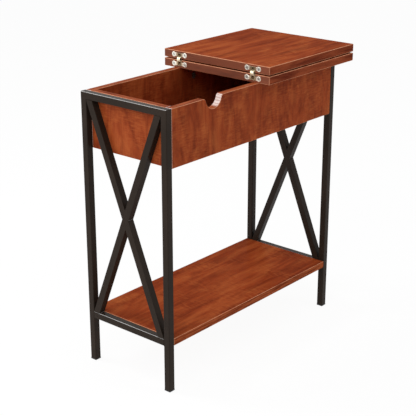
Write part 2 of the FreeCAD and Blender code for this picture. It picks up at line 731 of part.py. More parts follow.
def knock_down_fittings():
    """Cams, their bolts and dowels hold the box together and the fixed top onto it."""
    joints, dowels = [], []
    wall_mid = f"({post_top} - box_height / 2)"
    end_mid = f"({inner_x} - board_thickness / 2)"
    end_face = f"({inner_x} - board_thickness)"
    for y_sign, toward_middle in (("-", "+Y"), ("+", "-Y")):
        into_wall = reversed_direction(toward_middle)
        for x_sign, into_end in (("-", "-X"), ("+", "+X")):
            for level in ("- cam_end_spread", "+ cam_end_spread"):
                seam = (f"{x_sign}{end_mid}", f"{y_sign}{inner_y}", f"{wall_mid} {level}")
                mouth = (f"{x_sign}{end_face}", f"{y_sign}({inner_y} - cam_setback)", seam[2])
                joints.append(cam_joint("end_cam", seam, toward_middle, mouth, into_end))
            seam = (f"{x_sign}{end_mid}", f"{y_sign}{inner_y}", wall_mid)
            dowels.append(dowel("end_dowel", seam, toward_middle))
            floor_z = f"({box_bottom} + board_thickness / 2)"
            seam = (f"{x_sign}cam_floor_spread", f"{y_sign}{inner_y}", floor_z)
            mouth = (seam[0], f"{y_sign}({inner_y} - cam_setback)", box_bottom)
            joints.append(cam_joint("floor_cam", seam, toward_middle, mouth, "+Z"))
            seam = (f"{x_sign}dowel_floor_spread", f"{y_sign}{inner_y}", floor_z)
            dowels.append(dowel("floor_dowel", seam, toward_middle))
        wall_y = f"{y_sign}(frame_width / 2 - board_thickness / 2)"
        for along in ("cam_top_first", "cam_top_last"):
            seam = (along, wall_y, post_top)
            mouth = (along, f"{y_sign}{inner_y}", f"{post_top} - cam_setback")
            joints.append(cam_joint("top_cam", seam, "-Z", mouth, into_wall))
        dowels.append(dowel("top_dowel", ("dowel_top_place", wall_y, post_top), "+Z"))
    node("cam_bolts", group("cam_bolts", [bolt for bolt, disc in joints]))
    node("cam_discs", group("cam_discs", [disc for bolt, disc in joints]))
    node("dowels", group("dowels", dowels))


end_frames()
boards = box_and_shelf()
plain_core, plain_band = half_top()
leaf_core, leaf_band = hinges(plain_core, plain_band)
frame_bolts(fitting_bores)
shelf_tabs(fitting_bores)
knock_down_fittings()

all_bores = fused("all_bores", fitting_bores)
for board_name, plain_board in boards.items():
    node(board_name, cut("drilled_" + board_name, plain_board, [all_bores]))
node("fixed_top", cut("drilled_fixed_top", leaf_core, [all_bores]))
node("fixed_top_edge_band", leaf_band)
node("leaf", folded_over("folded_leaf", leaf_core))
node("leaf_edge_band", folded_over("folded_band", leaf_band))

doc.recompute()
for thing in doc.Objects:
    if "Invalid" in thing.State or "Error" in thing.State:
        raise RuntimeError(f"{thing.Name} did not compute: {thing.State}")
os.makedirs("parts", exist_ok=True)
for label, thing in nodes.items():
    shape = thing.Shape
    if shape.isNull() or not shape.isValid() or not shape.Solids:
        raise RuntimeError(f"{label} has no valid solid")
    print(f"{label}: {len(shape.Solids)} solid(s), {shape.Volume:.1f} mm3")
for label, thing in nodes.items():
    thing.Shape.exportStep(f"parts/{label}.step")
print(f"{len(nodes)} nodes written")
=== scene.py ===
import json
import math

import bmesh
import bpy
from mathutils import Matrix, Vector


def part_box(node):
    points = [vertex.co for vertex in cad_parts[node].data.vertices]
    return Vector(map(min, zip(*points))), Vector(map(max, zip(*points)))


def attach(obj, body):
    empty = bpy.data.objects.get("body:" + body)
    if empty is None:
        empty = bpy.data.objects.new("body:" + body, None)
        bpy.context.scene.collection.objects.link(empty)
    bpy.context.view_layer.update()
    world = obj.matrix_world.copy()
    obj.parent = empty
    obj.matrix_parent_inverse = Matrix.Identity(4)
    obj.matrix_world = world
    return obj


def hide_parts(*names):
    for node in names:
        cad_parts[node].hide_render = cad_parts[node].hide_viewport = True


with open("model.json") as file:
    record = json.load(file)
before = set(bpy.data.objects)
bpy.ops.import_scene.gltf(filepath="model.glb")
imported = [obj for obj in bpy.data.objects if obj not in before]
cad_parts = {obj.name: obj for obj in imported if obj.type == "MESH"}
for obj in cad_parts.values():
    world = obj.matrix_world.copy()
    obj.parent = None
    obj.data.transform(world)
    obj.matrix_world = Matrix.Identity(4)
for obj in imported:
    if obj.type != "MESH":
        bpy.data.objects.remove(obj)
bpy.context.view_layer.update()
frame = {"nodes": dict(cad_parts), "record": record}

bodyOfNode = {name: body for body, names in frame["record"]["behaviour"]["bodies"].items() for name in names}
print("frame loaded:", len(frame["nodes"]), "nodes")


def addNode(tree, kind, values=None, **settings):
    # a new node, each input set to a value or joined to another node's output
    made = tree.nodes.new(kind)
    for key, value in settings.items():
        setattr(made, key, value)
    for key, value in (values or {}).items():
        if isinstance(value, bpy.types.NodeSocket):
            tree.links.new(value, made.inputs[key])
        else:
            made.inputs[key].default_value = value
    return made


class Shader:
    # one material, with short ways to add and join its nodes
    def __init__(self, name, kind="ShaderNodeBsdfPrincipled"):
        self.material = bpy.data.materials.new(name)
        self.material.use_nodes = True
        self.tree = self.material.node_tree
        self.tree.nodes.clear()
        self.out = self.add("ShaderNodeOutputMaterial")
        self.surface = self.add(kind)
        self.join(self.surface.outputs[0], self.out.inputs["Surface"])

    def add(self, kind, values=None, **settings):
        return addNode(self.tree, kind, values, **settings)

    def join(self, start, end):
        self.tree.links.new(start, end)

    def put(self, label, value):
        # a value, or another node's output, on the shader's own socket
        socket = self.surface.inputs[label]
        if isinstance(value, bpy.types.NodeSocket):
            self.join(value, socket)
        else:
            socket.default_value = value

    def math(self, operation, first, second=0.0, third=0.0, clamp=False):
        values = {0: first, 1: second, 2: third}
        return self.add("ShaderNodeMath", values, operation=operation, use_clamp=clamp).outputs[0]

    def opposite(self, value):
        # 1 where value is 0, and 0 where it is 1
        return self.math("SUBTRACT", 1.0, value, clamp=True)

    def between(self, value, low, high):
        # 0 below low, 1 above high, smooth from one to the other
        made = self.add("ShaderNodeMapRange", {"Value": value, "From Min": low, "From Max": high},
                        interpolation_type="SMOOTHSTEP", clamp=True)
        return made.outputs[0]

    def share(self, pattern, reach, only=None):
        # reach says where a tone sets in on the pattern, where it is full and its share there
        low, high, most = reach
        made = self.math("MULTIPLY", self.between(pattern, low, high), most)
        return made if only is None else self.math("MULTIPLY", made, only)

    def noise(self, vector, lumps, detail=3.0, roughness=0.55, distortion=0.0):
        made = self.add("ShaderNodeTexNoise", {"Vector": vector, "Scale": lumps, "Detail": detail,
                                               "Roughness": roughness, "Distortion": distortion})
        return made.outputs["Fac"]

    def mix(self, factor, first, second, blend="MIX"):
        made = self.add("ShaderNodeMix", {0: factor}, data_type="RGBA", blend_type=blend, clamp_factor=True)
        for socket, value in ((made.inputs[6], first), (made.inputs[7], second)):
            if isinstance(value, bpy.types.NodeSocket):
                self.join(value, socket)
            else:
                socket.default_value = (*value, 1.0)
        return made.outputs[2]

    def stretched(self, vector, scale, shift=(0.0, 0.0, 0.0)):
        return self.add("ShaderNodeMapping", {"Vector": vector, "Scale": scale, "Location": shift}).outputs[0]

    def axes(self, vector):
        return self.add("ShaderNodeSeparateXYZ", {0: vector}).outputs

    def objectPlace(self):
        return self.add("ShaderNodeTexCoord").outputs["Object"]

    def objectNormal(self):
        return self.add("ShaderNodeTexCoord").outputs["Normal"]

    def facing(self):
        # how squarely the surface looks along the object's X, Y and Z, whichever way round
        size = self.add("ShaderNodeVectorMath", {0: self.objectNormal()}, operation="ABSOLUTE")
        return self.axes(size.outputs[0])

    def onBevel(self, faces, reach):
        # 1 where the surface looks along none of the three axes
        squarest = self.math("MAXIMUM", self.math("MAXIMUM", faces[0], faces[1]), faces[2])
        return self.opposite(self.between(squarest, *reach))

    def bump(self, height, strength, distance, before=None):
        values = {"Height": height, "Strength": strength, "Distance": distance}
        if before is not None:
            values["Normal"] = before
        return self.add("ShaderNodeBump", values).outputs[0]


def linear(red, green, blue):
    # a colour as it looks on screen, 0 to 255, for a shader socket
    parts = []
    for value in (red, green, blue):
        share = value / 255
        parts.append(share / 12.92 if share <= 0.04045 else ((share + 0.055) / 1.055) ** 2.4)
    return tuple(parts)


def finishNodes(names, material):
    # CAD nodes that keep their shape get their finish
    for name in names:
        slots = frame["nodes"][name].data.materials
        slots.clear()
        slots.append(material)


# Cherry veneer, shared by every board. Lengths are metres.
veneer = {
    "dark": linear(106, 39, 19),
    "middle": linear(152, 67, 33),
    "light": linear(184, 102, 54),
    "bandDark": linear(102, 42, 25),
    "bandLight": linear(150, 74, 45),
    "bandDull": linear(118, 82, 68),
    "lipDark": linear(116, 50, 26),
    "lipLight": linear(172, 90, 52),
    # pale tone on the bevels, partly rubbed wear and partly painted highlight
    "rubbedAndHighlight": linear(222, 158, 122),
    # pale tone of the notch's sides, partly the cut core and partly painted reflection
    "paleCutAndReflection": linear(224, 206, 200),
    "levelStreaks": 0.024,      # from one streak to the next across the grain, on the level boards
    "uprightStreaks": 0.0228,   # and on the upright ones
    "levelStretch": 0.11,       # how streaks are drawn out along the grain, less is longer
    "uprightStretch": 0.24,     # and on the upright boards, whose figure is softer and shorter
    "patchSize": 0.060,         # across one soft dark patch
    "patchStretch": 2.6,
    "patchShift": (3.1, 1.7, 0.4),
    "rippleWidth": 0.0055,      # from one cross ripple of the figure to the next
    "rippleStretch": (8.5, 0.26),       # along the grain and across it
    "fibreStretch": 0.16,
    "poreStretch": 0.5,
    "lipStretch": 0.06,
    "chatterPitch": 0.0052,     # from one cutter mark to the next in the notch
    "chatterSway": 2.5,         # how far the marks stray, in radians
    # detail, roughness and distortion of the patterns that have their size above
    "streakNoise": (5.0, 0.60, 0.9),
    "patchNoise": (4.0, 0.6, 1.2),
    "rippleNoise": (3.0, 0.6, 0.5),
    # lumps to the metre of the other patterns, then their detail, roughness and distortion
    "rippleSpots": (15.0, 2.0),
    "fibres": (620.0, 4.0, 0.7),
    "pores": (1500.0, 2.0, 0.5),
    "lipStreaks": (260.0, 4.0, 0.6, 0.3),
    "sway": (260.0, 2.0),
    "rubbedSpots": (55.0, 3.0),
    "clouds": (24.0, 3.0),
    "sawnEdge": (420.0, 2.0),
    # where a tone sets in on its pattern, where it is full and its share there
    "lightOnStreaks": (0.48, 0.86, 0.60),
    "darkOnPatches": (0.46, 0.72, 0.66),
    "lightOnPatches": (0.52, 0.22, 0.45),
    "lightOnRipple": (0.44, 0.66, 0.30),
    "darkOnRipple": (0.50, 0.32, 0.30),
    "darkOnFibres": (0.35, 0.75, 0.20),
    "dullOnEnds": (0.6, 0.8, 0.45),
    "rubbedOnSpots": (0.25, 0.60, 0.45),
    # where one thing passes into another, on a pattern or on how squarely the surface looks along an axis
    "darkToMiddle": (0.18, 0.60),
    "edgeTones": (0.34, 0.62),
    "ripplePlaces": (0.38, 0.62),
    "porePlaces": (0.60, 0.72),
    "markPlaces": (-0.95, -0.35),
    "edgeToFace": (0.55, 0.80),
    "sideToEnd": (0.6, 0.8),
    "lipToNotchSide": (0.30, 0.60),
    "bevelToFace": (0.80, 0.95),
    "uprightToSloped": (0.05, 0.30),
    "poreShare": 0.35,
    "edgeFibreShare": 0.35,
    "leastCutAndReflection": 0.48,           # share of the pale tone, cut core and painted reflection, between the cutter marks
    "markedCutAndReflection": 0.48,          # and how much more on them
    "leastRubAndHighlight": 0.40,        # share of the pale tone, rubbed wear and painted highlight, all along a bevel
    "uprightRubAndHighlightLoss": 0.45,     # how much less of it upright bevels get, as their painted highlight is weaker
    "roughness": 0.50,
    "roughnessSpread": 0.16,
    "poreRoughness": 0.12,      # how much rougher a pore is
    "poreDepth": 0.8,           # against the height of the fibres
    "lacquer": 0.09,            # share of clear lacquer over upright wood
    "levelLacquer": 0.035,      # and over the tops and shelf, which mirror far more of the room
    "lacquerRoughness": 0.28,
    # strength and height of each relief
    "cloudBump": (0.10, 0.0008),
    "sawnBump": (0.25, 0.0004),
    "grainBump": (0.22, 0.00012),
}


class Veneer(Shader):
    # one board's veneer. grain is the axis, 0 to 2, that its fibres follow, and flat the axis that its
    # veneered faces look along. place is where it is cut from the veneer, edge is band or lip
    def __init__(self, name, grain, flat, place, edge):
        super().__init__(name)
        self.grain, self.level, self.place, self.edge = grain, flat == 2, place, edge
        self.where = self.objectPlace()
        self.faces = self.facing()
        self.onEdge = self.opposite(self.between(self.faces[flat], *veneer["edgeToFace"]))
        self.layPatterns()
        run = 0 if flat else 1        # the end boards' lips run along Y, the other lips along X
        tone = self.mix(self.onEdge, self.faceTone(), self.edgeTone(run))
        inNotch = 0.0
        if edge == "lip" and not self.level:
            steep = self.between(self.faces[1 - flat], *veneer["lipToNotchSide"])
            inNotch = self.math("MULTIPLY", steep, self.onEdge)
            tone = self.notchTone(tone, inNotch)
        self.put("Base Color", self.rubbedAndHighlightTone(tone, inNotch))
        self.setGloss()
        self.setRelief()

    def drawnOut(self, vector, stretch, across=1.0, shift=(0.0, 0.0, 0.0)):
        # stretch below 1 draws a pattern out along the grain
        scale = tuple(stretch if axis == self.grain else across for axis in range(3))
        return self.stretched(vector, scale, shift)

    def layPatterns(self):
        stretch = veneer["levelStretch"] if self.level else veneer["uprightStretch"]
        width = veneer["levelStreaks"] if self.level else veneer["uprightStreaks"]
        along = self.drawnOut(self.where, stretch, 1.0, self.place)
        if self.edge == "band":
            # the band's fibres follow each edge, so X and Y change places on the two ends
            parts = self.axes(self.where)
            turned = self.add("ShaderNodeCombineXYZ", {0: parts[1], 1: parts[0], 2: parts[2]}).outputs[0]
            onEnd = self.between(self.faces[0], *veneer["sideToEnd"])
            choose = self.add("ShaderNodeMix", {0: onEnd}, data_type="VECTOR")
            self.join(along, choose.inputs[4])
            self.join(self.drawnOut(turned, stretch, 1.0, self.place), choose.inputs[5])
            along = choose.outputs[1]
        self.streaks = self.noise(along, 1 / width, *veneer["streakNoise"])
        spread = self.drawnOut(along, veneer["patchStretch"], 1.0, veneer["patchShift"])
        self.patches = self.noise(spread, 1 / veneer["patchSize"], *veneer["patchNoise"])
        crossed = self.drawnOut(along, *veneer["rippleStretch"])
        self.ripple = self.noise(crossed, 1 / veneer["rippleWidth"], *veneer["rippleNoise"])
        self.rippled = self.between(self.noise(self.where, *veneer["rippleSpots"]), *veneer["ripplePlaces"])
        self.fibres = self.noise(self.drawnOut(along, veneer["fibreStretch"]), *veneer["fibres"])
        pores = self.noise(self.drawnOut(along, veneer["poreStretch"]), *veneer["pores"])
        self.pores = self.between(pores, *veneer["porePlaces"])
        self.clouds = self.noise(self.where, *veneer["clouds"])

    def faceTone(self):
        dark, light = veneer["dark"], veneer["light"]
        tone = self.mix(self.between(self.streaks, *veneer["darkToMiddle"]), dark, veneer["middle"])
        tone = self.mix(self.share(self.streaks, veneer["lightOnStreaks"]), tone, light)
        tone = self.mix(self.share(self.patches, veneer["darkOnPatches"]), tone, dark)
        tone = self.mix(self.share(self.patches, veneer["lightOnPatches"]), tone, light)
        tone = self.mix(self.share(self.ripple, veneer["lightOnRipple"], self.rippled), tone, light)
        tone = self.mix(self.share(self.ripple, veneer["darkOnRipple"], self.rippled), tone, dark)
        tone = self.mix(self.share(self.fibres, veneer["darkOnFibres"]), tone, dark, "MULTIPLY")
        return self.mix(self.math("MULTIPLY", self.pores, veneer["poreShare"]), tone, dark)

    def edgeTone(self, run):
        # the tops' bands are darker and redder, the boards' lips paler
        dark, light = veneer[self.edge + "Dark"], veneer[self.edge + "Light"]
        streaks = self.streaks
        if self.edge == "lip":
            drawn = tuple(veneer["lipStretch"] if axis == run else 1.0 for axis in range(3))
            streaks = self.noise(self.stretched(self.where, drawn, self.place), *veneer["lipStreaks"])
        tone = self.mix(self.between(streaks, *veneer["edgeTones"]), dark, light)
        tone = self.mix(self.math("MULTIPLY", self.fibres, veneer["edgeFibreShare"]), tone, dark, "MULTIPLY")
        if self.edge == "band":
            # the strips across the two ends get a duller, greyer tone than the long ones
            tone = self.mix(self.share(self.faces[0], veneer["dullOnEnds"]), tone, veneer["bandDull"])
        return tone

    def notchTone(self, tone, inNotch):
        # the round notch is cut after banding, so its steep sides show a chattered cut whose pale tone is
        # partly the cut core and partly painted reflection
        sway = self.math("MULTIPLY", self.noise(self.where, *veneer["sway"]), veneer["chatterSway"])
        turns = 2 * math.pi / veneer["chatterPitch"]
        wave = self.math("SINE", self.math("MULTIPLY_ADD", self.axes(self.where)[2], turns, sway))
        marks = self.between(wave, *veneer["markPlaces"])
        shown = self.math("MULTIPLY_ADD", marks, veneer["markedCutAndReflection"], veneer["leastCutAndReflection"])
        return self.mix(self.math("MULTIPLY", inNotch, shown), tone, veneer["paleCutAndReflection"])

    def rubbedAndHighlightTone(self, tone, inNotch):
        # the small bevels get a pale tone, partly wear rubbed through in places and partly painted highlight,
        # less on upright ones and none in the notch
        upright = self.opposite(self.between(self.faces[2], *veneer["uprightToSloped"]))
        spots = self.share(self.noise(self.where, *veneer["rubbedSpots"]), veneer["rubbedOnSpots"])
        shown = self.math("ADD", spots, veneer["leastRubAndHighlight"])
        kept = self.math("MULTIPLY_ADD", upright, -veneer["uprightRubAndHighlightLoss"], 1.0)
        for share in (kept, self.opposite(inNotch), self.onBevel(self.faces, veneer["bevelToFace"])):
            shown = self.math("MULTIPLY", shown, share)
        return self.mix(shown, tone, veneer["rubbedAndHighlight"])

    def setGloss(self):
        spread = veneer["roughnessSpread"]
        rough = self.math("MULTIPLY_ADD", self.clouds, spread, veneer["roughness"] - spread / 2)
        self.put("Roughness", self.math("MULTIPLY_ADD", self.pores, veneer["poreRoughness"], rough))
        self.put("Specular IOR Level", 0.0)        # all the gloss is the lacquer's
        self.put("Coat Weight", veneer["levelLacquer"] if self.level else veneer["lacquer"])
        self.put("Coat Roughness", veneer["lacquerRoughness"])

    def setRelief(self):
        sawn = self.math("MULTIPLY", self.noise(self.where, *veneer["sawnEdge"]), self.onEdge)
        soft = self.bump(sawn, *veneer["sawnBump"], self.bump(self.clouds, *veneer["cloudBump"]))
        grooves = self.math("MULTIPLY_ADD", self.pores, -veneer["poreDepth"], self.fibres)
        self.put("Normal", self.bump(grooves, *veneer["grainBump"], soft))


# Each board's fibre axis, the axis that its faces look along, its place in the veneer and its kind of edge.
boardFinishes = {
    # the two tops' places are picked to put darker figure towards the +X end of the top, which is painted
    # shade
    "leaf": (0, 2, (2.61, 0.88, 1.02), "band"),
    "fixed_top": (0, 2, (1.13, 0.64, 0.21), "band"),
    "leaf_edge_band": (0, 2, (2.61, 0.88, 1.02), "band"),
    "fixed_top_edge_band": (0, 2, (1.13, 0.64, 0.21), "band"),
    "shelf": (0, 2, (2.47, 1.31, 0.58), "lip"),
    "box_floor": (0, 2, (3.71, 0.23, 1.94), "lip"),
    "front_board": (2, 1, (0.83, 2.15, 0.37), "lip"),
    "back_board": (2, 1, (4.19, 1.62, 0.93), "lip"),
    "left_end_board": (2, 0, (5.27, 0.48, 2.61), "lip"),
    "right_end_board": (2, 0, (6.05, 3.33, 1.12), "lip"),
}
for boardName, boardFinish in boardFinishes.items():
    finishNodes([boardName], Veneer("cherry_" + boardName, *boardFinish).material)
print("veneer done")


# Powder coat on the steel frame.
frameCoat = {
    "colour": linear(39, 31, 25),
    "worn": linear(55, 44, 36),
    # painted highlight on the rails' upper corners
    "gleam": linear(222, 221, 219),
    "gloss": 0.08,
    "roughness": 0.40,
    "roughnessSpread": 0.14,
    # lumps to the metre, then detail and roughness
    "grain": (1400.0, 2.0, 0.6),
    "orangePeel": (420.0, 2.0, 0.5),
    "clouds": (11.0, 4.0, 0.6),
    "rubbedSpots": (70.0, 4.0, 0.7),
    # breaks up the painted highlight along the rails
    "gleamBreakup": (60.0, 3.0),
    "gleamBreakupStretch": (1.0, 0.3, 1.0),
    # where the worn tone sets in on its pattern, where it is full and its share there
    "wornClouds": (0.35, 0.75, 0.45),
    "wornSpots": (0.50, 0.72, 0.55),
    "wornGrain": (0.56, 0.70, 0.35),
    "cornerToFace": (0.80, 0.97),
    "gleamRise": (0.45, 0.62),       # how far up a corner with the painted highlight looks
    "gleamTurn": (0.36, 0.52),       # and how far to the side
    # least share of the painted highlight, and how much its breakup adds
    "leastGleam": 0.45,
    "gleamSpread": 0.50,
    # strength and height of each relief
    "grainBump": (0.20, 0.00008),
    "peelBump": (0.22, 0.00030),
}


def coatMaterial():
    s = Shader("dark_powder_coat")
    where = s.objectPlace()
    faces = s.facing()
    grain = s.noise(where, *frameCoat["grain"])
    clouds = s.noise(where, *frameCoat["clouds"])
    colour = s.mix(s.share(clouds, frameCoat["wornClouds"]), frameCoat["colour"], frameCoat["worn"])
    onCorner = s.onBevel(faces, frameCoat["cornerToFace"])
    spots = s.noise(where, *frameCoat["rubbedSpots"])
    colour = s.mix(s.share(spots, frameCoat["wornSpots"], onCorner), colour, frameCoat["worn"])
    colour = s.mix(s.share(grain, frameCoat["wornGrain"]), colour, frameCoat["worn"])
    # painted highlight along the upper corners of the rails, broken up along their length
    rise = s.between(s.axes(s.objectNormal())[2], *frameCoat["gleamRise"])
    upperCorner = s.math("MULTIPLY", rise, s.between(faces[0], *frameCoat["gleamTurn"]))
    marks = s.noise(s.stretched(where, frameCoat["gleamBreakupStretch"]), *frameCoat["gleamBreakup"])
    shine = s.math("MULTIPLY_ADD", marks, frameCoat["gleamSpread"], frameCoat["leastGleam"])
    colour = s.mix(s.math("MULTIPLY", upperCorner, shine, clamp=True), colour, frameCoat["gleam"])
    s.put("Base Color", colour)
    spread = frameCoat["roughnessSpread"]
    s.put("Roughness", s.math("MULTIPLY_ADD", clouds, spread, frameCoat["roughness"] - spread / 2))
    s.put("Specular IOR Level", frameCoat["gloss"])
    peel = s.bump(s.noise(where, *frameCoat["orangePeel"]), *frameCoat["peelBump"])
    s.put("Normal", s.bump(grain, *frameCoat["grainBump"], peel))
    return s.material


# Metals: tone, duller tone, roughness, how the scratches are drawn out, and how metallic it is.
metals = {
    "cast_zinc": (linear(242, 236, 220), linear(210, 203, 186), 0.32, (1.0, 1.0, 1.0), 0.40),
    # the cam discs' zinc is painted dark, as shade inside the box
    "zinc_in_painted_shade": (linear(128, 122, 114), linear(96, 90, 82), 0.45, (1.0, 1.0, 1.0), 0.6),
    "zinc_plated_steel": (linear(214, 214, 208), linear(176, 174, 166), 0.28, (0.2, 1.0, 1.0), 0.7),
    "polished_brass": (linear(255, 246, 214), linear(240, 218, 166), 0.22, (1.0, 0.15, 1.0), 0.4),
}
metalGrain = {
    "scratches": (900.0, 3.0, 0.6),     # lumps to the metre, detail and roughness
    "patches": (160.0, 3.0, 0.6),
    "dullPatches": (0.42, 0.78),
    "roughnessSpread": 0.12,
    "scratchBump": (0.12, 0.00004),
}
# Painted shade: the deep cup in the middle of each hinge plate is painted browner and darker than the lobes,
# as shade in the recess.
cupPaintedShade = {
    "colour": linear(138, 106, 62),
    "reach": (0.0076, 0.0101),  # from the plate's middle to where the tone starts to fade, and is gone
    "share": 0.85,
}


def hingeMiddle(place, half):
    low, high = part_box(f"{place}_hinge_{half}_plate")
    return (low.y + high.y) / 2


def metalMaterial(name, cupped=False):
    # fine scratches, and a duller tone in patches
    colour, dull, roughness, drawn, metallic = metals[name]
    s = Shader(name)
    where = s.objectPlace()
    scratches = s.noise(s.stretched(where, drawn), *metalGrain["scratches"])
    patches = s.noise(where, *metalGrain["patches"])
    finish = s.mix(s.between(patches, *metalGrain["dullPatches"]), colour, dull)
    if cupped:
        # both hinges are as far from the middle of the table
        across = s.math("ABSOLUTE", s.axes(where)[1])
        away = s.math("ABSOLUTE", s.math("SUBTRACT", across, abs(hingeMiddle("far", "fixed"))))
        # painted shade in each plate's deep cup
        inCup = s.opposite(s.between(away, *cupPaintedShade["reach"]))
        finish = s.mix(s.math("MULTIPLY", inCup, cupPaintedShade["share"]), finish, cupPaintedShade["colour"])
    s.put("Base Color", finish)
    s.put("Metallic", metallic)
    spread = metalGrain["roughnessSpread"]
    s.put("Roughness", s.math("MULTIPLY_ADD", scratches, spread, roughness - spread / 2))
    s.put("Normal", s.bump(scratches, *metalGrain["scratchBump"]))
    return s.material


# Moulded plastic of the feet.
footPlastic = {
    "colour": linear(24, 24, 24),
    "scuffed": linear(58, 56, 54),
    "pebbles": 1300.0,          # to the metre
    "scuffs": (120.0, 4.0, 0.7),        # lumps to the metre, detail and roughness
    "scuffPlaces": (0.5, 0.8, 0.6),
    "roughness": 0.5,
    "scuffRoughness": 0.2,      # how much rougher a scuff is
    "bump": (0.2, 0.00008),
}


def plasticMaterial():
    s = Shader("black_plastic")
    where = s.objectPlace()
    pebbles = s.add("ShaderNodeTexVoronoi", {"Vector": where, "Scale": footPlastic["pebbles"]})
    scuffs = s.noise(where, *footPlastic["scuffs"])
    scuffed = s.share(scuffs, footPlastic["scuffPlaces"])
    s.put("Base Color", s.mix(scuffed, footPlastic["colour"], footPlastic["scuffed"]))
    rough = s.math("MULTIPLY_ADD", scuffs, footPlastic["scuffRoughness"], footPlastic["roughness"])
    s.put("Roughness", rough)
    s.put("Normal", s.bump(pebbles.outputs["Distance"], *footPlastic["bump"]))
    return s.material


# Beech of the dowels.
dowelWood = {
    "pale": linear(205, 168, 122),
    "fleck": linear(172, 128, 84),
    "flecks": (700.0, 3.0, 0.6),        # lumps to the metre, detail and roughness
    "fleckStretch": (1.0, 1.0, 0.2),
    "fleckPlaces": (0.4, 0.7),
    "roughness": 0.5,
    "fleckRoughness": 0.2,
    "bump": (0.2, 0.0001),
}


def beechMaterial():
    s = Shader("pale_beech")
    flecks = s.noise(s.stretched(s.objectPlace(), dowelWood["fleckStretch"]), *dowelWood["flecks"])
    flecked = s.between(flecks, *dowelWood["fleckPlaces"])
    s.put("Base Color", s.mix(flecked, dowelWood["pale"], dowelWood["fleck"]))
    s.put("Roughness", s.math("MULTIPLY_ADD", flecks, dowelWood["fleckRoughness"], dowelWood["roughness"]))
    s.put("Normal", s.bump(flecks, *dowelWood["bump"]))
    return s.material


powderCoat = coatMaterial()
blackPlastic = plasticMaterial()
beech = beechMaterial()
castZinc = metalMaterial("cast_zinc", cupped=True)
zincInPaintedShade = metalMaterial("zinc_in_painted_shade")
zincSteel = metalMaterial("zinc_plated_steel")
brass = metalMaterial("polished_brass")
print("coat, plastic and metals done")

finishNodes([name for name in frame["nodes"] if name.endswith(("_post", "_rail", "_brace"))], powderCoat)
finishNodes([name for name in frame["nodes"] if name.endswith(("_pin", "_rivet"))], zincSteel)
finishNodes(["cam_bolts", "threaded_inserts"], zincSteel)
finishNodes(["dowels"], beech)


def linked(name, data):
    # a new object in the scene, at the origin
    made = bpy.data.objects.new(name, data)
    bpy.context.scene.collection.objects.link(made)
    return made


def meshFrom(name, work):
    mesh = bpy.data.meshes.new(name)
    work.to_mesh(mesh)
    work.free()
    return mesh


# Small cast, stamped and moulded parts keep their solid's shape and get their edges rounded over.
edgeRounding = {
    "castings": 0.00030,
    "links": 0.00022,
    "feet": 0.00060,
    "tabs": 0.00035,
    "fittings": 0.00018,
    "steps": 2,                 # flats that make up one rounding
    "flatAngle": 3.0,           # degrees below which two triangles are one face
    "sharpAngle": 32.0,         # degrees above which an edge is rounded
    "creaseAngle": 38.0,        # degrees above which a finished edge isn't shaded smooth
    "looseGap": 0.000004,       # corners nearer than this are one
    "sliver": 0.000003,
    "roundedGap": 0.000002,     # the same gap after the rounding
}


def smoothed(mesh):
    mesh.shade_smooth()
    mesh.set_sharp_from_angle(angle=math.radians(edgeRounding["creaseAngle"]))


def roundedEdges(name, nodeName, width, material):
    # a copy of the node as one tidy mesh, its sharp edges rounded over, that rides in its place
    d = edgeRounding
    work = bmesh.new()
    work.from_mesh(frame["nodes"][nodeName].data)
    bmesh.ops.remove_doubles(work, verts=work.verts, dist=d["looseGap"])
    bmesh.ops.dissolve_degenerate(work, dist=d["sliver"], edges=work.edges)
    bmesh.ops.dissolve_limit(work, angle_limit=math.radians(d["flatAngle"]), verts=work.verts,
                             edges=work.edges, delimit=set())
    sharp = [edge for edge in work.edges
             if len(edge.link_faces) == 2 and edge.calc_face_angle() > math.radians(d["sharpAngle"])]
    bmesh.ops.bevel(work, geom=sharp, offset=width, offset_type="OFFSET", segments=d["steps"], profile=0.5,
                    affect="EDGES", clamp_overlap=True, loop_slide=True)
    bmesh.ops.remove_doubles(work, verts=work.verts, dist=d["roundedGap"])
    piece = linked(name, meshFrom(name, work))
    piece.data.materials.append(material)
    smoothed(piece.data)
    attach(piece, bodyOfNode[nodeName])
    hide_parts(nodeName)
    return piece


for place in ("near", "far"):
    for half in ("fixed", "leaf"):
        name = f"{place}_hinge_{half}_plate"
        roundedEdges(name + "_casting", name, edgeRounding["castings"], castZinc)
for place in ("near", "far"):
    for kind in ("link_plates", "link_spacer"):
        name = f"{place}_{kind}"
        roundedEdges(name + "_brass", name, edgeRounding["links"], brass)
for end in ("left", "right"):
    for side in ("front", "back"):
        name = f"{end}_{side}_foot"
        roundedEdges(name + "_cap", name, edgeRounding["feet"], blackPlastic)
    name = f"{end}_shelf_tabs"
    roundedEdges(name + "_steel", name, edgeRounding["tabs"], powderCoat)
# the cam discs get the zinc that is painted dark as shade
roundedEdges("cam_disc_castings", "cam_discs", edgeRounding["fittings"], zincInPaintedShade)
print("dressed copies done")


def treeWith(name, inputs):
    # an empty tree with a mesh in, a mesh out and named inputs between
    tree = bpy.data.node_groups.new(name, "GeometryNodeTree")
    tree.interface.new_socket("Geometry", in_out="INPUT", socket_type="NodeSocketGeometry")
    for label, kind in inputs.items():
        tree.interface.new_socket(label, in_out="INPUT", socket_type="NodeSocket" + kind)
    tree.interface.new_socket("Geometry", in_out="OUTPUT", socket_type="NodeSocketGeometry")
    return tree, tree.nodes.new("NodeGroupInput").outputs


def closeTree(tree, geometry):
    # instances become real mesh, which the export needs, and get their finish
    real = addNode(tree, "GeometryNodeRealizeInstances", {"Geometry": geometry})
    finish = addNode(tree, "GeometryNodeSetMaterial", {"Geometry": real.outputs[0]})
    addNode(tree, "NodeGroupOutput", {0: finish.outputs[0]})
    return tree, finish


def treeMath(tree, operation, first, second=0.0):
    return addNode(tree, "ShaderNodeMath", {0: first, 1: second}, operation=operation).outputs[0]


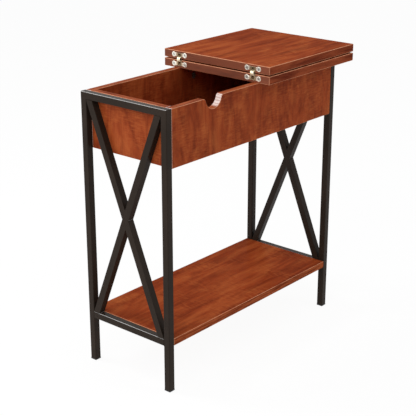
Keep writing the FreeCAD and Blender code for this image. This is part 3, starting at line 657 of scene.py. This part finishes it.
def runTree(name, closedTree, work, values, body, material, replaced=()):
    # put the mesh through the tree and keep the plain result
    tree, finish = closedTree
    finish.inputs["Material"].default_value = material
    blank = linked(name + "_blank", meshFrom(name + "_blank", work))
    modifier = blank.modifiers.new("build", "NODES")
    modifier.node_group = tree
    sockets = {item.name: item.identifier for item in tree.interface.items_tree if item.in_out == "INPUT"}
    for label, value in values.items():
        modifier[sockets[label]] = value
    graph = bpy.context.evaluated_depsgraph_get()
    result = bpy.data.meshes.new_from_object(blank.evaluated_get(graph), depsgraph=graph)
    result.name = name
    blank.modifiers.clear()
    bpy.data.objects.remove(blank)
    piece = linked(name, result)
    smoothed(result)
    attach(piece, body)
    if replaced:
        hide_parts(*replaced)


def lathe(profile, sides):
    # a closed turned shape from (radius, height) points, lowest first, which end at a head's top, at zero
    work = bmesh.new()
    rings = []
    for radius, height in profile:
        angles = [2 * math.pi * step / sides for step in range(sides)]
        rings.append([work.verts.new((radius * math.cos(a), radius * math.sin(a), height)) for a in angles])
    for low, high in zip(rings, rings[1:]):
        for step in range(sides):
            after = (step + 1) % sides
            work.faces.new((low[step], low[after], high[after], high[step]))
    work.faces.new(list(reversed(rings[0])))
    work.faces.new(rings[-1])
    return work


def point(d, tip):
    # the blunt point of a screw or bolt, whose tip is at that height
    return [(d["pointRadius"], tip), (d["shankRadius"], tip + d["pointLength"])]


def thread(d, tip):
    # root and crest of each turn
    profile = []
    for step in range(d["threadTurns"]):
        height = tip + d["threadStart"] + step * d["threadPitch"]
        profile += [(d["shankRadius"] * d["rootShare"], height), (d["shankRadius"], height + d["crestRise"])]
    return profile


smallestRadius = 0.0001         # of the tiny flat on top of a head that is rounded all over


def crown(d):
    # the rounded top of a head, with its highest point at zero
    profile = []
    for step in range(d["crownSteps"] + 1):
        angle = math.pi / 2 * step / d["crownSteps"]
        radius = d["flatRadius"] + (d["headRadius"] - d["flatRadius"]) * math.cos(angle)
        height = (d["headHeight"] - d["edgeHeight"]) * (math.sin(angle) - 1)
        profile.append((max(radius, smallestRadius), height))
    return profile


def buildScrewTree():
    # a turned blank, less a cross recess, set at every place in one go
    tree, start = treeWith("screwsInPlace", {
        "Places": "Object", "Recess Span": "Float", "Recess Width": "Float", "Recess Depth": "Float",
        "Turn": "Vector", "Seed": "Int"})
    depth = treeMath(tree, "MULTIPLY", start["Recess Depth"], 2.0)
    cross = addNode(tree, "GeometryNodeMeshBoolean", operation="UNION")
    for first, second in (("Recess Span", "Recess Width"), ("Recess Width", "Recess Span")):
        size = addNode(tree, "ShaderNodeCombineXYZ", {0: start[first], 1: start[second], 2: depth})
        arm = addNode(tree, "GeometryNodeMeshCube", {"Size": size.outputs[0]})
        tree.links.new(arm.outputs[0], cross.inputs[1])
    recess = addNode(tree, "GeometryNodeMeshBoolean", {0: start["Geometry"], 1: cross.outputs[0]},
                     operation="DIFFERENCE")
    places = addNode(tree, "GeometryNodeObjectInfo", {"Object": start["Places"]}, transform_space="ORIGINAL")
    screws = addNode(tree, "GeometryNodeInstanceOnPoints", {
        "Points": places.outputs["Geometry"], "Instance": recess.outputs[0], "Rotation": start["Turn"]})
    # every screw stops at its own angle
    spin = addNode(tree, "FunctionNodeRandomValue", {2: 0.0, 3: math.pi, "Seed": start["Seed"]},
                   data_type="FLOAT")
    about = addNode(tree, "ShaderNodeCombineXYZ", {2: spin.outputs[1]})
    turned = addNode(tree, "GeometryNodeRotateInstances", {
        "Instances": screws.outputs[0], "Rotation": about.outputs[0], "Local Space": True})
    return closeTree(tree, turned.outputs[0])


screwsInPlace = buildScrewTree()


def setScrews(name, places, d, profile, turn, body, nodeName):
    # loose points tell the tree where the screws go
    mesh = bpy.data.meshes.new(name + "_places")
    mesh.from_pydata(places, [], [])
    cloud = linked(name + "_places", mesh)
    values = {"Places": cloud, "Recess Span": d["recessSpan"], "Recess Width": d["recessWidth"],
              "Recess Depth": d["recessDepth"], "Turn": turn, "Seed": d["turnSeed"]}
    runTree(name, screwsInPlace, lathe(profile, d["sides"]), values,
            body, zincSteel, [nodeName])
    bpy.data.objects.remove(cloud)


# Hinge screws: flush heads outwards along -X, threaded shanks into the panel.
hingeScrew = {
    "headRadius": 0.00345,
    "headHeight": 0.0022,
    "rimHeight": 0.0003,        # of the upright rim round the head
    "rimBreak": (0.0001, 0.00008),      # how far in and down the rim's corner is broken
    "shankRadius": 0.00158,
    "length": 0.016,
    "pointRadius": 0.0004,
    "pointLength": 0.0025,
    "threadStart": 0.0030,
    "threadPitch": 0.0011,
    "threadTurns": 9,
    "crestRise": 0.00045,       # from a turn's root up to its crest
    "rootShare": 0.78,
    "neckShare": 0.80,          # radius under the head, as a share of the shank's
    "neckGap": 0.0002,
    "recessSpan": 0.0036,
    "recessWidth": 0.00085,
    "recessDepth": 0.0011,
    "lobeSpacing": 0.031,
    "sides": 40,
    "turnSeed": 4,
}


def hingeScrews(half, body):
    d = hingeScrew
    low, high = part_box(f"{half}_hinge_screws")
    height = (low.z + high.z) / 2
    middles = sorted(hingeMiddle(place, half) for place in ("near", "far"))
    places = [(low.x, y + side * d["lobeSpacing"] / 2, height) for y in middles for side in (-1, 1)]
    breakIn, breakDown = d["rimBreak"]
    profile = point(d, -d["length"]) + thread(d, -d["length"])
    profile += [(d["shankRadius"] * d["neckShare"], -d["headHeight"] - d["neckGap"]),
                (d["headRadius"], -d["rimHeight"]),
                (d["headRadius"], -breakDown),
                (d["headRadius"] - breakIn, 0.0)]
    outwards = (0.0, -math.pi / 2, 0.0)
    setScrews(f"{half}_cross_screws", places, d, profile, outwards, body, f"{half}_hinge_screws")


hingeScrews("fixed", "table")
hingeScrews("leaf", "flip_leaf")

# Shelf screws: pan heads under the tabs, points up into the shelf.
shelfScrew = {
    "headRadius": 0.00375,
    "headHeight": 0.0024,
    "edgeHeight": 0.0009,       # of the head's upright edge
    "flatRadius": 0.0,
    "crownSteps": 6,
    "shankRadius": 0.0019,
    "length": 0.011,
    "pointRadius": 0.0004,
    "pointLength": 0.002,
    "neckGap": 0.0002,
    "recessSpan": 0.0036,
    "recessWidth": 0.0009,
    "recessDepth": 0.0011,
    "inset": 0.0038,            # from the sides of the box round the CAD screws to a screw's middle
    "sides": 40,
    "turnSeed": 9,
}


def shelfScrews():
    d = shelfScrew
    low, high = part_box("shelf_screws")
    places = [(x, y, low.z) for x in (low.x + d["inset"], high.x - d["inset"])
              for y in (low.y + d["inset"], high.y - d["inset"])]
    profile = point(d, -d["length"] - d["headHeight"])
    profile += [(d["shankRadius"], -d["headHeight"] - d["neckGap"]), (d["headRadius"], -d["headHeight"])]
    headDown = (math.pi, 0.0, 0.0)
    setScrews("shelf_pan_screws", places, d, profile + crown(d), headDown, "table", "shelf_screws")


shelfScrews()
print("screws done")

# Frame bolts: button heads with a hexagon socket, two at each end of the box.
frameBolt = {
    "headRadius": 0.0052,
    "headHeight": 0.0032,
    "edgeHeight": 0.0006,
    "edgeBreak": 0.0002,        # how much the corner under the head is broken
    "flatRadius": 0.0027,
    "crownSteps": 7,
    "shankRadius": 0.0029,
    "length": 0.026,
    "pointRadius": 0.0020,
    "pointLength": 0.0008,
    "threadStart": 0.0012,
    "threadPitch": 0.0010,
    "threadTurns": 14,
    "crestRise": 0.00045,
    "rootShare": 0.84,
    "neckGap": 0.0001,
    "socketRadius": 0.0022,
    "socketDepth": 0.0021,
    "sides": 48,
}


def buildBoltTree():
    tree, start = treeWith("boltsInPlace", {
        "Spacing X": "Float", "Spacing Y": "Float", "Centre": "Vector", "Socket Radius": "Float",
        "Socket Depth": "Float"})
    depth = treeMath(tree, "MULTIPLY", start["Socket Depth"], 2.0)
    hexagon = addNode(tree, "GeometryNodeMeshCylinder", {
        "Vertices": 6, "Radius": start["Socket Radius"], "Depth": depth})
    bolt = addNode(tree, "GeometryNodeMeshBoolean", {0: start["Geometry"], 1: hexagon.outputs[0]},
                   operation="DIFFERENCE")
    grid = addNode(tree, "GeometryNodeMeshGrid", {
        "Size X": start["Spacing X"], "Size Y": start["Spacing Y"], "Vertices X": 2, "Vertices Y": 2})
    places = addNode(tree, "GeometryNodeTransform", {
        "Geometry": grid.outputs[0], "Translation": start["Centre"]})
    # heads look towards the middle of the table, so each row is turned its own way
    where = addNode(tree, "GeometryNodeInputPosition").outputs[0]
    placeX = addNode(tree, "ShaderNodeSeparateXYZ", {0: where}).outputs[0]
    middleX = addNode(tree, "ShaderNodeSeparateXYZ", {0: start["Centre"]}).outputs[0]
    side = treeMath(tree, "SIGN", treeMath(tree, "SUBTRACT", placeX, middleX))
    turn = addNode(tree, "ShaderNodeCombineXYZ", {1: treeMath(tree, "MULTIPLY", side, -math.pi / 2)})
    bolts = addNode(tree, "GeometryNodeInstanceOnPoints", {
        "Points": places.outputs[0], "Instance": bolt.outputs[0], "Rotation": turn.outputs[0]})
    return closeTree(tree, bolts.outputs[0])


def frameBolts():
    d = frameBolt
    low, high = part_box("frame_bolts")
    tip = -d["length"] - d["headHeight"]
    profile = point(d, tip) + thread(d, tip)
    profile += [(d["shankRadius"], -d["headHeight"] - d["neckGap"]),
                (d["headRadius"] - d["edgeBreak"], -d["headHeight"]),
                (d["headRadius"], -d["headHeight"] + d["edgeBreak"])]
    values = {"Spacing X": high.x - low.x + 2 * tip, "Spacing Y": high.y - low.y - 2 * d["headRadius"],
              "Centre": (low + high) / 2,
              "Socket Radius": d["socketRadius"], "Socket Depth": d["socketDepth"]}
    runTree("button_head_bolts", buildBoltTree(), lathe(profile + crown(d), d["sides"]), values,
            "table", zincSteel, ["frame_bolts"])


frameBolts()
print("bolts done")

# Weld beads: a row of overlapping drops in every inner corner where a tube meets a tube.
weld = {
    "dropRadius": 0.0016,
    "dropWidthShare": 0.8,      # a drop's width along its row, as a share of its height
    "dropsInRow": 9,
    "endGap": 0.0005,           # bare tube beyond each end of a row
    "unevenness": 0.18,
    "segments": 10,
    "rings": 6,
    "seed": 11,
}


def buildWeldTree():
    tree, start = treeWith("weldBeads", {
        "Row Length": "Float", "Drops": "Int", "Drop Radius": "Float", "Unevenness": "Float", "Seed": "Int"})
    rowEnds = []
    for share in (-0.5, 0.5):
        reach = treeMath(tree, "MULTIPLY", start["Row Length"], share)
        rowEnds.append(addNode(tree, "ShaderNodeCombineXYZ", {0: reach}).outputs[0])
    row = addNode(tree, "GeometryNodeMeshLine", {
        "Count": start["Drops"], "Start Location": rowEnds[0], "Offset": rowEnds[1]}, mode="END_POINTS")
    rows = addNode(tree, "GeometryNodeInstanceOnPoints", {
        "Points": start["Geometry"], "Instance": row.outputs[0]})
    spots = addNode(tree, "GeometryNodeRealizeInstances", {"Geometry": rows.outputs[0]})
    drop = addNode(tree, "GeometryNodeMeshUVSphere", {
        "Segments": weld["segments"], "Rings": weld["rings"], "Radius": start["Drop Radius"]})
    least = treeMath(tree, "SUBTRACT", 1.0, start["Unevenness"])
    size = addNode(tree, "FunctionNodeRandomValue", {2: least, 3: 1.0, "Seed": start["Seed"]},
                   data_type="FLOAT").outputs[1]
    scale = addNode(tree, "ShaderNodeCombineXYZ", {0: weld["dropWidthShare"], 1: size, 2: size})
    drops = addNode(tree, "GeometryNodeInstanceOnPoints", {
        "Points": spots.outputs[0], "Instance": drop.outputs[0], "Scale": scale.outputs[0]})
    return closeTree(tree, drops.outputs[0])


weldTree = buildWeldTree()


def weldBeads(end):
    # the braces cross between the posts, and their slant gives the corners that they make
    d = weld
    postLow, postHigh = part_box(f"{end}_front_post")
    railLow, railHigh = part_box(f"{end}_bottom_rail")
    front = postHigh.y
    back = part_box(f"{end}_back_post")[0].y
    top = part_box(f"{end}_top_rail")[0].z
    side = postHigh.y - postLow.y
    slant = math.atan2(back - front, top - railHigh.z)
    slant -= math.asin(side / math.hypot(back - front, top - railHigh.z))
    foot = side / math.cos(slant)
    spots = [(front, railLow.z), (back, railLow.z)]
    for base in (railHigh.z, top):
        spots += [(front + foot, base), (back - foot, base)]
    centre = (railHigh.z + top) / 2
    rise = side / 2 / math.sin(slant)
    spots += [(0.0, centre + rise), (0.0, centre - rise), (foot / 2, centre), (-foot / 2, centre)]
    work = bmesh.new()
    for y, z in spots:
        work.verts.new(((postLow.x + postHigh.x) / 2, y, z))
    values = {"Row Length": side - 2 * (d["dropRadius"] + d["endGap"]), "Drops": d["dropsInRow"],
              "Drop Radius": d["dropRadius"], "Unevenness": d["unevenness"], "Seed": d["seed"]}
    runTree(f"{end}_weld_beads", weldTree, work, values, "table", powderCoat)


weldBeads("left")
weldBeads("right")
print("weld beads done")


# Floor and world.
studio = {
    "floorColour": (1.0, 1.0, 1.0),
    "floorReach": 30.0,
    "floorDrop": 0.0004,        # below the feet, so that the two share no plane
    "floorGlow": 0.94,          # share of plain white where the camera or a mirror sees the floor
    "worldColour": (0.96, 0.98, 1.0),
    "worldLight": 0.54,
}
white = (1.0, 1.0, 1.0, 1.0)


def seenStraight(tree):
    # 1 for what the camera, a mirror or glass sees, 0 for what only lights other things
    rays = addNode(tree, "ShaderNodeLightPath").outputs
    inGloss = treeMath(tree, "MAXIMUM", rays["Is Glossy Ray"], rays["Is Transmission Ray"])
    return treeMath(tree, "MAXIMUM", rays["Is Camera Ray"], inGloss)


def paleFloor():
    reach = studio["floorReach"]
    work = bmesh.new()
    for x, y in ((-reach, -reach), (reach, -reach), (reach, reach), (-reach, reach)):
        work.verts.new((x, y, -studio["floorDrop"]))
    work.faces.new(work.verts)
    floor = linked("studio_floor", meshFrom("studio_floor", work))
    s = Shader("studio_white", "ShaderNodeBsdfDiffuse")
    s.put("Color", (*studio["floorColour"], 1.0))
    glow = s.add("ShaderNodeEmission", {"Color": white, "Strength": 1.0})
    share = s.math("MULTIPLY", seenStraight(s.tree), studio["floorGlow"])
    blend = s.add("ShaderNodeMixShader", {0: share, 1: s.surface.outputs[0], 2: glow.outputs[0]})
    s.join(blend.outputs[0], s.out.inputs["Surface"])
    floor.data.materials.append(s.material)


def whiteWorld():
    world = bpy.data.worlds.new("studio_world")
    bpy.context.scene.world = world
    world.use_nodes = True
    tree = world.node_tree
    tree.nodes.clear()
    soft = addNode(tree, "ShaderNodeBackground", {
        "Color": (*studio["worldColour"], 1.0), "Strength": studio["worldLight"]})
    bright = addNode(tree, "ShaderNodeBackground", {"Color": white, "Strength": 1.0})
    blend = addNode(tree, "ShaderNodeMixShader", {
        0: seenStraight(tree), 1: soft.outputs[0], 2: bright.outputs[0]})
    addNode(tree, "ShaderNodeOutputWorld", {"Surface": blend.outputs[0]})


# Soft lamps: where each is, what it looks at, its size, power and colour.
lamps = {
    "key": ((-2.2, -0.5, 2.3), (0.0, 0.0, 0.4), (1.6, 1.2), 23.0, (1.0, 0.98, 0.95)),
    "fill": ((0.9, -2.1, 2.7), (0.0, 0.0, 0.40), (1.0, 0.9), 16.0, (1.0, 1.0, 1.0)),
    "side": ((-1.8, 1.1, 0.95), (-0.25, 0.0, 0.30), (1.3, 0.8), 6.5, (1.0, 1.0, 1.0)),
    "overhead": ((-0.85, 1.5, 2.3), (0.0, 0.0, 0.5), (0.7, 0.7), 26.0, (1.0, 1.0, 1.0)),
}


def softLamp(name, place, target, size, power, colour):
    lamp = bpy.data.lights.new(name, "AREA")
    lamp.shape = "RECTANGLE"
    lamp.size, lamp.size_y = size
    lamp.energy = power
    lamp.color = colour
    holder = linked(name, lamp)
    holder.location = place
    holder.rotation_euler = (Vector(target) - Vector(place)).to_track_quat("-Z", "Y").to_euler()


# The camera, fitted to the photo.
view = {
    "place": (-1.7447, -1.4529, 1.1244),
    "yaw": 0.7047,              # radians from +X
    "pitch": 0.3514,            # radians below the horizon
    "focalPixels": 1100.0,
    "imagePixels": 416.0,
    "sensorWidth": 36.0,        # millimetres
    "nearest": 0.05,            # what is nearer than this, or beyond the farthest, isn't seen
    "farthest": 100.0,
}


def photoCamera():
    camera = bpy.data.cameras.new("photo_camera")
    camera.sensor_fit = "HORIZONTAL"
    camera.sensor_width = view["sensorWidth"]
    camera.lens = camera.sensor_width * view["focalPixels"] / view["imagePixels"]
    camera.clip_start = view["nearest"]
    camera.clip_end = view["farthest"]
    holder = linked("photo_camera", camera)
    flat = math.cos(view["pitch"])
    look = Vector((flat * math.cos(view["yaw"]), flat * math.sin(view["yaw"]), -math.sin(view["pitch"])))
    holder.location = view["place"]
    holder.rotation_euler = look.to_track_quat("-Z", "Y").to_euler()
    bpy.context.scene.camera = holder


paleFloor()
whiteWorld()
for lampName, lampValues in lamps.items():
    softLamp(lampName, *lampValues)
photoCamera()
bpy.context.scene.view_settings.view_transform = "Standard"
print("stage done")
